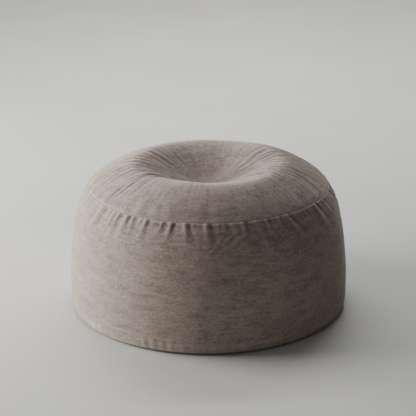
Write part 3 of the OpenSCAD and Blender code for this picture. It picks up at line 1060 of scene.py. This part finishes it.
    def band(self, name: str, nodes: tuple[str, ...], turns: tuple[float, float],
             arcs: tuple[float, float], rolls: EdgeRolls) -> None:
        """Builds one band between two angles and two distances up the side.

        Args:
            name: The piece's name.
            nodes: The frame nodes it stands for.
            turns: First and last angle.
            arcs: Lowest and highest distance along the side.
            rolls: Its rolled edges.
        """
        radius = self.form.side_r
        across = stations(0.0, (turns[1] - turns[0]) * radius, self.finish_spacing, rolls.start, rolls.end)
        up = stations(arcs[0], arcs[1], self.finish_spacing, rolls.low, rolls.high)[:, None]
        turn = (turns[0] + across / radius)[None, :]
        wide = (turns[1] - turns[0]) * radius
        depth = np.maximum.reduce(np.broadcast_arrays(
            edge_roll(across, rolls.start)[None, :], edge_roll(wide - across, rolls.end)[None, :],
            edge_roll(up - arcs[0], rolls.low), edge_roll(arcs[1] - up, rolls.high)))
        piece = self.sheet(name, turn, up, depth)
        mark_crests(piece, 1.0 * MM)
        thicken(piece, self.form.fabric)
        hand_over(piece, Body.CUSHION, nodes)

    def seam_edges(self, name: str, node: str, middle: float) -> None:
        """Builds the turned-in edges behind a side seam, as a double strip under the settled side.

        Args:
            name: The piece's name.
            node: The frame node it stands for.
            middle: The seam's angle.
        """
        low, high = (self.form.side_at_height(corner.z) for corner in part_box(node))
        half = self.edge_half / self.form.side_r
        turn = np.linspace(middle - half, middle + half, 9)[None, :]
        up = np.linspace(low, high, int(round((high - low) / self.finish_spacing)) + 1)[:, None]
        piece = self.sheet(name, turn, up, self.edge_depth)
        thicken(piece, 2 * self.form.fabric)
        hand_over(piece, Body.CUSHION, (node,))

    def build(self) -> None:
        """Builds the three bands and the turned-in edges of the side seams."""
        self.simulate()
        length = self.form.side.length
        back = (math.pi / 2 - self.form.back_half, math.pi / 2 + self.form.back_half)
        upper = self.form.side_at_height(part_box("cover_back_band_upper")[0].z)
        lower = self.form.side_at_height(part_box("cover_back_band_lower")[1].z)
        seam, fold = self.seam_roll, self.zip_roll
        self.band("front_band_velour", ("cover_front_band",), (back[1], back[0] + 2 * math.pi),
                  (0.0, length), EdgeRolls(seam, seam, seam, seam))
        self.band("back_band_upper_velour", ("cover_back_band_upper",), back, (upper, length),
                  EdgeRolls(seam, seam, fold, seam))
        self.band("back_band_lower_velour", ("cover_back_band_lower",), back, (0.0, lower),
                  EdgeRolls(seam, seam, seam, fold))
        self.seam_edges("seam_edges_right", "side_seam_edges_right", back[0])
        self.seam_edges("seam_edges_left", "side_seam_edges_left", back[1])


def revolved_piece(name: str, profile: Profile, arcs: np.ndarray, columns: int, height: np.ndarray,
                   material: bpy.types.Material) -> bpy.types.Object:
    """Makes a revolved sheet with a relief; a ring at the axis becomes one point.

    Args:
        name: The piece's name.
        profile: The section it follows.
        arcs: Distances along the section.
        columns: How many points go round.
        height: Relief of each ring and column.
        material: Its finish.

    Returns:
        The sheet.
    """
    turn = np.arange(columns) * 2 * math.pi / columns
    section, normal = profile.at(arcs[:, None])
    points = revolve(section, normal, turn, height).reshape(-1, 3)
    at = np.arange(len(arcs) * columns).reshape(len(arcs), columns)
    faces = []
    if section[0, 0, 0] < 1e-6:
        at[0, :] = len(points)
        points = np.vstack([points, [[0.0, 0.0, float(section[0, 0, 1])]]])
    after = np.roll(at, -1, axis=1)
    for row in range(len(arcs) - 1):
        for column in range(columns):
            corners = (at[row, column], after[row, column], after[row + 1, column], at[row + 1, column])
            faces.append(tuple(int(v) for v in dict.fromkeys(corners)))
    used = np.unique(np.concatenate([np.array(f) for f in faces]))
    renumber = np.full(len(points), -1)
    renumber[used] = np.arange(len(used))
    faces = [tuple(int(renumber[v]) for v in f) for f in faces]
    return piece_from(name, points[used], faces, material)


def turn_outwards(piece: bpy.types.Object, middle_h: float = 0.2, step: int = 7) -> None:
    """Flips a sheet whose faces point at the middle of the cushion.

    Args:
        piece: The sheet.
        middle_h: Height of the cushion's middle.
        step: One face in this many is looked at.
    """
    mesh = piece.data
    middle = Vector((0.0, 0.0, middle_h))
    sample = list(mesh.polygons)[::step]
    outward = sum((face.center - middle).dot(face.normal) > 0 for face in sample)
    if 2 * outward < len(sample):
        mesh.flip_normals()


@dataclass
class BasePanel:
    """The round underside: flat on the floor, with a rolled edge up to the base seam."""

    form: CushionForm
    finishes: Finishes
    columns: int = 360
    seam_roll: float = 2.0 * MM
    gather_h: float = 0.7 * MM
    bend_reach: float = 1.3
    ring_gap: float = 2.5 * MM
    seed: int = 5

    def build(self) -> None:
        """Builds the panel."""
        profile = self.form.base
        bend = profile.length - self.bend_reach * self.form.base_roll
        arcs = np.concatenate([np.linspace(0.0, bend, 30)[:-1],
                               stations(bend, profile.length, self.ring_gap, 0.0, self.seam_roll)])
        rng = np.random.default_rng(self.seed)
        turn = np.arange(self.columns)[None, :] * 2 * math.pi / self.columns
        rise = ease(arcs[:, None], bend + 4 * MM, profile.length - 2 * MM)
        gathers = ring_wave(turn, arcs[:, None], rng, 60, 120, 10, 8.0)
        height = -self.gather_h * np.abs(gathers) * rise
        height = height - edge_roll(profile.length - arcs, self.seam_roll)[:, None]
        piece = revolved_piece("base_panel_cloth", profile, arcs, self.columns, height,
                               self.finishes.of(Slot.BASE))
        turn_outwards(piece)
        thicken(piece, self.form.fabric)
        hand_over(piece, Body.CUSHION, ("cover_base_panel",))


@dataclass
class LiningAndFill:
    """The lining's seat panel, slack under the cover, and the heap of beads inside."""

    form: CushionForm
    finishes: Finishes
    slack: float = 9 * MM
    bead_gap: float = 5 * MM
    lining_t: float = 0.5 * MM
    groove: float = 9 * MM
    lining_crumple: float = 0.9 * MM
    bead_crumple: float = 0.6 * MM
    lining_seed: int = 31
    bead_seed: int = 37
    columns: int = 300

    def relief(self, arcs: np.ndarray, seed: int, size: float) -> np.ndarray:
        """Returns small crumples of slack cloth."""
        rng = np.random.default_rng(seed)
        turn = np.arange(self.columns)[None, :] * 2 * math.pi / self.columns
        arc = arcs[:, None]
        return size * ease(arc, 10 * MM, 90 * MM) * (
            ring_wave(turn, arc, rng, 20, 70, 14, 26.0) + ring_wave(turn, arc * 4, rng, 5, 18, 8, 20.0))

    def build(self) -> None:
        """Builds both pieces."""
        lining = self.form.top.inside(self.slack)
        arcs = np.linspace(0.0, lining.length, 70)
        level = ease(lining.length - arcs, 0.0, 25 * MM)[:, None]
        height = level * self.relief(arcs, self.lining_seed, self.lining_crumple)
        panel = revolved_piece("lining_seat_panel", lining, arcs, self.columns, height,
                               self.finishes.of(Slot.LINING))
        turn_outwards(panel)
        thicken(panel, self.lining_t)
        hand_over(panel, Body.CUSHION, ("lining_top_panel",))
        self.build_beads()

    def build_beads(self) -> None:
        """Builds the heap of beads as one closed mass."""
        low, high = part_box("bead_fill")
        top = self.form.top.inside(self.slack + self.bead_gap)
        side_r = high.x - self.groove
        outer = [p for p in top.points[::-1] if p[0] <= side_r]
        shoulder = curve((side_r, 0.10), 90, 0.2, tuple(outer[0]), self.form.top_seam_lean, 0.3, 24)
        foot = curve((side_r - 60 * MM, low.z), 0, 0.5, (side_r, 0.06), 90, 0.5, 14)
        line = np.vstack([[(0.0, low.z)], foot, shoulder, outer[1:]])
        profile = Profile(line, 1.0)
        arcs = np.linspace(0.0, profile.length, 150)
        level = ease(profile.length - arcs, 0.0, 80 * MM)[:, None]
        height = level * self.relief(arcs, self.bead_seed, self.bead_crumple)
        height[0, :], height[-1, :] = 0.0, 0.0
        height = np.minimum(height, 0.0)
        piece = revolved_piece("bead_heap", profile, arcs, self.columns, height,
                               self.finishes.of(Slot.BEADS))
        self.close_top(piece)
        turn_outwards(piece)
        hand_over(piece, Body.CUSHION, ("bead_fill",))

    @staticmethod
    def close_top(piece: bpy.types.Object) -> None:
        """Merges the last ring, which has shrunk to the axis, into one point."""
        shape = bmesh.new()
        shape.from_mesh(piece.data)
        bmesh.ops.remove_doubles(shape, verts=shape.verts, dist=1e-6)
        bmesh.ops.recalc_face_normals(shape, faces=shape.faces)
        shape.to_mesh(piece.data)
        shape.free()


# ---------------------------------------------------------------- rows along a path


@dataclass
class RowTree:
    """A Geometry Nodes tree that repeats one small shape along a path."""

    shape: RowShape
    sockets: dict[str, str] = field(default_factory=dict)

    def __post_init__(self) -> None:
        """Builds the tree."""
        self.tree = bpy.data.node_groups.new(f"{self.shape.value}_row", "GeometryNodeTree")
        face = self.tree.interface
        face.new_socket("Path", in_out="INPUT", socket_type="NodeSocketGeometry")
        for label in ("Pitch", "Length", "Width", "Strand"):
            socket = face.new_socket(label, in_out="INPUT", socket_type="NodeSocketFloat")
            socket.default_value = 1 * MM
            self.sockets[label] = socket.identifier
        socket = face.new_socket("Finish", in_out="INPUT", socket_type="NodeSocketMaterial")
        self.sockets["Finish"] = socket.identifier
        face.new_socket("Row", in_out="OUTPUT", socket_type="NodeSocketGeometry")
        start, end = self.node("NodeGroupInput"), self.node("NodeGroupOutput")
        path = self.node("GeometryNodeMeshToCurve", {"Mesh": start.outputs["Path"]})
        path = self.node("GeometryNodeResampleCurve",
                         {"Curve": path.outputs[0], "Length": start.outputs["Pitch"]}, mode="LENGTH")
        tangent = self.node("GeometryNodeInputTangent").outputs[0]
        turn = self.node("FunctionNodeAlignRotationToVector", {"Vector": tangent}, axis="Z")
        turn = self.node("FunctionNodeAlignRotationToVector",
                         {"Rotation": turn.outputs[0], "Vector": (0.0, 0.0, 1.0)}, axis="X", pivot_axis="Z")
        unit = self.stitch(start) if self.shape is RowShape.STITCH else self.coil_loop(start)
        row = self.node("GeometryNodeInstanceOnPoints",
                        {"Points": path.outputs[0], "Instance": unit, "Rotation": turn.outputs[0]})
        row = self.node("GeometryNodeRealizeInstances", {"Geometry": row.outputs[0]})
        row = self.node("GeometryNodeSetShadeSmooth", {"Geometry": row.outputs[0]})
        row = self.node("GeometryNodeSetMaterial",
                        {"Geometry": row.outputs[0], "Material": start.outputs["Finish"]})
        self.tree.links.new(row.outputs[0], end.inputs["Row"])

    def node(self, kind: str, inputs: dict[str, object] | None = None, **props: object) -> bpy.types.Node:
        """Adds a node, sets its properties and feeds its inputs."""
        node = self.tree.nodes.new(kind)
        for key, value in props.items():
            setattr(node, key, value)
        for key, value in (inputs or {}).items():
            if isinstance(value, bpy.types.NodeSocket):
                self.tree.links.new(value, node.inputs[key])
            else:
                node.inputs[key].default_value = value
        return node

    def stitch(self, start: bpy.types.Node) -> bpy.types.NodeSocket:
        """Returns one stitch: a short rounded strand that lies along the path."""
        ball = self.node("GeometryNodeMeshUVSphere", {"Segments": 6, "Rings": 5, "Radius": 0.5})
        size = self.node("ShaderNodeCombineXYZ", {"X": start.outputs["Strand"], "Y": start.outputs["Width"],
                                                  "Z": start.outputs["Length"]})
        return self.node("GeometryNodeTransform",
                         {"Geometry": ball.outputs[0], "Scale": size.outputs[0]}).outputs[0]

    def coil_loop(self, start: bpy.types.Node) -> bpy.types.NodeSocket:
        """Returns one loop of a zip coil, square to the path."""
        loop = self.node("GeometryNodeCurvePrimitiveCircle", {"Resolution": 10, "Radius": 0.5})
        size = self.node("ShaderNodeCombineXYZ", {"X": start.outputs["Length"], "Y": start.outputs["Width"],
                                                  "Z": 1.0})
        loop = self.node("GeometryNodeTransform", {"Geometry": loop.outputs[0], "Scale": size.outputs[0]})
        half = self.node("ShaderNodeMath", {0: start.outputs["Strand"], 1: 0.5}, operation="MULTIPLY")
        strand = self.node("GeometryNodeCurvePrimitiveCircle", {"Resolution": 5, "Radius": half.outputs[0]})
        return self.node("GeometryNodeCurveToMesh",
                         {"Curve": loop.outputs[0], "Profile Curve": strand.outputs[0]}).outputs[0]

    def lay(self, name: str, path: np.ndarray, closed: bool, sizes: dict[str, float],
            material: bpy.types.Material) -> bpy.types.Object:
        """Runs the tree along a path and returns the row as a plain mesh object.

        Args:
            name: The piece's name.
            path: Points of the path.
            closed: Whether the path joins up.
            sizes: Pitch, length, width and strand, in metres.
            material: The row's finish.

        Returns:
            The row.
        """
        count = len(path)
        edges = [(i, (i + 1) % count) for i in range(count if closed else count - 1)]
        mesh = bpy.data.meshes.new(name + "_path")
        mesh.from_pydata(path.tolist(), edges, [])
        guide = bpy.data.objects.new(name + "_path", mesh)
        bpy.context.scene.collection.objects.link(guide)
        modifier = guide.modifiers.new("row", "NODES")
        modifier.node_group = self.tree
        for label, value in sizes.items():
            modifier[self.sockets[label]] = value
        modifier[self.sockets["Finish"]] = material
        row = bpy.data.objects.new(name, plain_mesh(guide, name))
        bpy.context.scene.collection.objects.link(row)
        bpy.data.objects.remove(guide)
        bpy.data.meshes.remove(mesh)
        return row


def arc_path(radius: float, level: float, start: float, end: float, step: float = 2 * MM) -> np.ndarray:
    """Returns points of a level arc round the axis."""
    count = max(8, int(round(abs(end - start) * radius / step)))
    turn = np.linspace(start, end, count + 1)
    return np.c_[radius * np.cos(turn), radius * np.sin(turn), np.full(count + 1, level)]


@dataclass
class SeamThreads:
    """Every row of stitches: the round seams, the side seams and the rows beside the zip."""

    form: CushionForm
    bands: SideBands
    finishes: Finishes
    row: RowTree
    pitch: float = 3.2 * MM
    length: float = 2.8 * MM
    strand: float = 0.8 * MM
    zip_fold: float = 14 * MM
    edge_row: float = 2.5 * MM
    seam_gap: float = 3.0 * MM
    end_gap: float = 6.0 * MM
    lay_gap: float = 0.4 * MM
    lining_share: float = 0.4

    def sew(self, name: str, path: np.ndarray, nodes: tuple[str, ...] = (), slot: Slot = Slot.THREAD,
            share: float = 1.0, closed: bool = False) -> None:
        """Lays one row of stitches and hands it over.

        Args:
            name: The row's name.
            path: Points of the seam.
            nodes: The frame nodes that the row stands for.
            slot: Its finish slot.
            share: Thickness of the thread, as a share of the cover's.
            closed: Whether the seam joins up.
        """
        thick = self.strand * share
        sizes = {"Pitch": self.pitch, "Length": self.length, "Width": thick, "Strand": thick}
        row = self.row.lay(name, path, closed, sizes, self.finishes.of(slot))
        hand_over(row, Body.CUSHION, nodes)

    def ring(self, node: str, slot: Slot, share: float = 1.0) -> None:
        """Lays the stitches of a round seam where the frame has its thread."""
        low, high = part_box(node)
        inset = self.strand * share / 2
        path = arc_path(high.x - inset, (low.z + high.z) / 2, 0.0, 2 * math.pi)[:-1]
        self.sew(node + "_stitches", path, (node,), slot, share, closed=True)

    def upright(self, node: str, front: int) -> None:
        """Lays the stitches of a side seam, inside the cover, on the front side of the seam."""
        low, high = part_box(node)
        seam = math.pi / 2 + front * self.form.back_half
        turn = seam + front * self.seam_gap / self.form.side_r
        arcs = np.linspace(self.form.side_at_height(low.z), self.form.side_at_height(high.z), 90)
        depth = 3 * self.form.fabric + self.lay_gap + self.strand / 2
        path = self.bands.surface(np.full(len(arcs), turn), arcs, depth)
        self.sew(node + "_stitches", path, (node,))

    def beside_zip(self, name: str, node: str, side: int) -> None:
        """Lays the row that holds a tape to the folded edge of a back band."""
        low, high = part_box(node)
        edge = low.z if side > 0 else high.z
        arc = self.form.side_at_height(edge + side * (self.zip_fold - self.edge_row))
        start = math.pi / 2 - self.form.back_half + self.end_gap / self.form.side_r
        turn = np.linspace(start, math.pi - start, 600)
        self.sew(name, self.bands.surface(turn, np.full(len(turn), arc), 0.1 * self.strand))

    def build(self) -> None:
        """Builds every row."""
        for level in ("top", "base"):
            self.ring(f"{level}_seam_thread", Slot.THREAD)
        for level in ("top", "base"):
            self.ring(f"lining_{level}_thread", Slot.LINING_THREAD, self.lining_share)
        self.upright("side_seam_thread_left", 1)
        self.upright("side_seam_thread_right", -1)
        self.beside_zip("zip_row_upper_stitches", "cover_back_band_upper", 1)
        self.beside_zip("zip_row_lower_stitches", "cover_back_band_lower", -1)


@dataclass
class ZipCoils:
    """The four rows of zip coil, each loop sewn to the edge of its tape."""

    form: CushionForm
    finishes: Finishes
    row: RowTree
    pitch: float = 1.5 * MM
    strand: float = 0.75 * MM
    depth: float = 2.2 * MM
    end_inset: float = 16 * MM
    lining_half: float = math.radians(40.0)

    def coil(self, node: str, half_arc: float, middle: float, slot: Slot) -> None:
        """Lays one row of loops in the space of its node.

        Args:
            node: The coil's node.
            half_arc: Half of the zip's arc.
            middle: Angle of the zip's middle.
            slot: The finish slot.
        """
        low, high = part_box(node)
        radius = max(abs(low.y), abs(high.y)) - self.depth / 2
        inset = self.end_inset / self.form.side_r
        path = arc_path(radius, (low.z + high.z) / 2, middle - half_arc + inset, middle + half_arc - inset)
        sizes = {"Pitch": self.pitch, "Length": high.z - low.z - self.strand,
                 "Width": self.depth - self.strand, "Strand": self.strand}
        row = self.row.lay(node + "_loops", path, False, sizes, self.finishes.of(slot))
        hand_over(row, Body.CUSHION, (node,))

    def build(self) -> None:
        """Builds the four rows."""
        for level in ("upper", "lower"):
            self.coil(f"zip_coil_{level}", self.form.back_half, math.pi / 2, Slot.COIL)
            self.coil(f"lining_zip_coil_{level}", self.lining_half, -math.pi / 2, Slot.LINING_COIL)


KEPT_NODES: dict[Slot, tuple[str, ...]] = {
    Slot.TAPE: ("zip_tape_upper", "zip_tape_lower"),
    Slot.METAL: ("zip_start_stop", "zip_end_stop", "zip_slider", "zip_pull",
                 "lining_zip_start_stop", "lining_zip_end_stop", "lining_zip_slider"),
    Slot.LABEL: ("care_label",),
    Slot.LINING: ("lining_side_wall", "lining_base_panel"),
    Slot.LINING_TAPE: ("lining_zip_tape_upper", "lining_zip_tape_lower"),
}


# ---------------------------------------------------------------- studio


@dataclass
class Studio:
    """A pale floor that sweeps up behind the cushion, soft light from the left and the camera."""

    floor_half: float = 8.0
    sweep_start: float = 5.2
    sweep_radius: float = 1.6
    wall_h: float = 5.0
    lens: float = 118.5
    camera_at: tuple[float, float, float] = (0.0, -4.220, 1.788)
    look_at: tuple[float, float, float] = (0.0, 0.0, 0.3205)
    roll: float = math.radians(-0.4)
    sensor: float = 36.0
    surroundings: float = 0.10

    def backdrop(self) -> None:
        """Builds the floor and the wall as one smooth sweep."""
        bend = [(self.sweep_start + self.sweep_radius * math.sin(a), self.sweep_radius * (1 - math.cos(a)))
                for a in np.linspace(0.0, math.pi / 2, 24)]
        line = [(-self.floor_half, 0.0)] + bend + [(bend[-1][0], self.wall_h)]
        points = [(x, y, z) for y, z in line for x in (-self.floor_half, self.floor_half)]
        faces = [(2 * i, 2 * i + 1, 2 * i + 3, 2 * i + 2) for i in range(len(line) - 1)]
        finish = FloorFinish("floor_pale", rgb(198, 197, 193), rgb(191, 190, 185))
        floor = piece_from("studio_floor", np.array(points), faces, finish.material())

    def light(self, name: str, at: tuple[float, float, float], aim: tuple[float, float, float],
              size: tuple[float, float], power: float, colour: tuple[float, float, float]) -> None:
        """Adds one soft rectangular light.

        Args:
            name: The light's name.
            at: Its place.
            aim: What it points at.
            size: Its width and height.
            power: Its power, in watts.
            colour: Its colour.
        """
        data = bpy.data.lights.new(name, "AREA")
        data.shape, data.size, data.size_y = "RECTANGLE", size[0], size[1]
        data.energy, data.color = power, colour
        lamp = bpy.data.objects.new(name, data)
        lamp.location = at
        lamp.rotation_euler = (Vector(aim) - Vector(at)).to_track_quat("-Z", "Y").to_euler()
        bpy.context.scene.collection.objects.link(lamp)

    def lights(self) -> None:
        """Adds the window-like key light, the weak top light and the even surroundings."""
        self.light("window_left", (-3.3, 0.36, 0.94), (0.0, 0.0, 0.30),
                   (2.3, 1.6), 330.0, (1.0, 0.985, 0.97))
        self.light("sky_above", (-0.3, 1.5, 3.4), (0.0, 0.0, 0.4),
                   (3.2, 2.2), 50.0, (0.97, 0.98, 1.0))
        self.light("fill_front_left", (-1.5, -3.8, 1.3), (0.0, 0.0, 0.25),
                   (2.4, 1.6), 18.0, (1.0, 0.98, 0.96))
        self.light("wall_wash", (0.0, 2.9, 3.9), (0.0, 4.4, 1.2),
                   (4.0, 1.0), 250.0, (1.0, 1.0, 0.99))
        world = bpy.data.worlds.new("surroundings")
        world.use_nodes = True
        background = world.node_tree.nodes["Background"]
        background.inputs["Color"].default_value = (0.93, 0.95, 0.96, 1.0)
        background.inputs["Strength"].default_value = self.surroundings
        bpy.context.scene.world = world

    def camera(self) -> None:
        """Adds the camera."""
        data = bpy.data.cameras.new("camera")
        data.lens, data.sensor_width = self.lens, self.sensor
        camera = bpy.data.objects.new("camera", data)
        camera.location = self.camera_at
        aim = (Vector(self.look_at) - Vector(self.camera_at)).to_track_quat("-Z", "Y").to_matrix()
        camera.rotation_euler = (aim @ Matrix.Rotation(self.roll, 3, "Z")).to_euler()
        bpy.context.scene.collection.objects.link(camera)
        bpy.context.scene.camera = camera

    def build(self) -> None:
        """Builds the whole studio."""
        self.camera()
        self.backdrop()
        self.lights()


def main() -> None:
    """Builds the cushion and its studio in order."""
    logging.basicConfig(level=logging.INFO, format="%(name)s: %(message)s")
    Studio().build()
    form = CushionForm()
    finishes = Finishes()
    TopPanel(form, finishes).build()
    bands = SideBands(form, finishes)
    bands.build()
    BasePanel(form, finishes).build()
    LiningAndFill(form, finishes).build()
    SeamThreads(form, bands, finishes, RowTree(RowShape.STITCH)).build()
    ZipCoils(form, finishes, RowTree(RowShape.COIL_LOOP)).build()
    for slot, nodes in KEPT_NODES.items():
        for node in nodes:
            finishes.dress(node, slot)


if __name__ == "__main__":
    main()
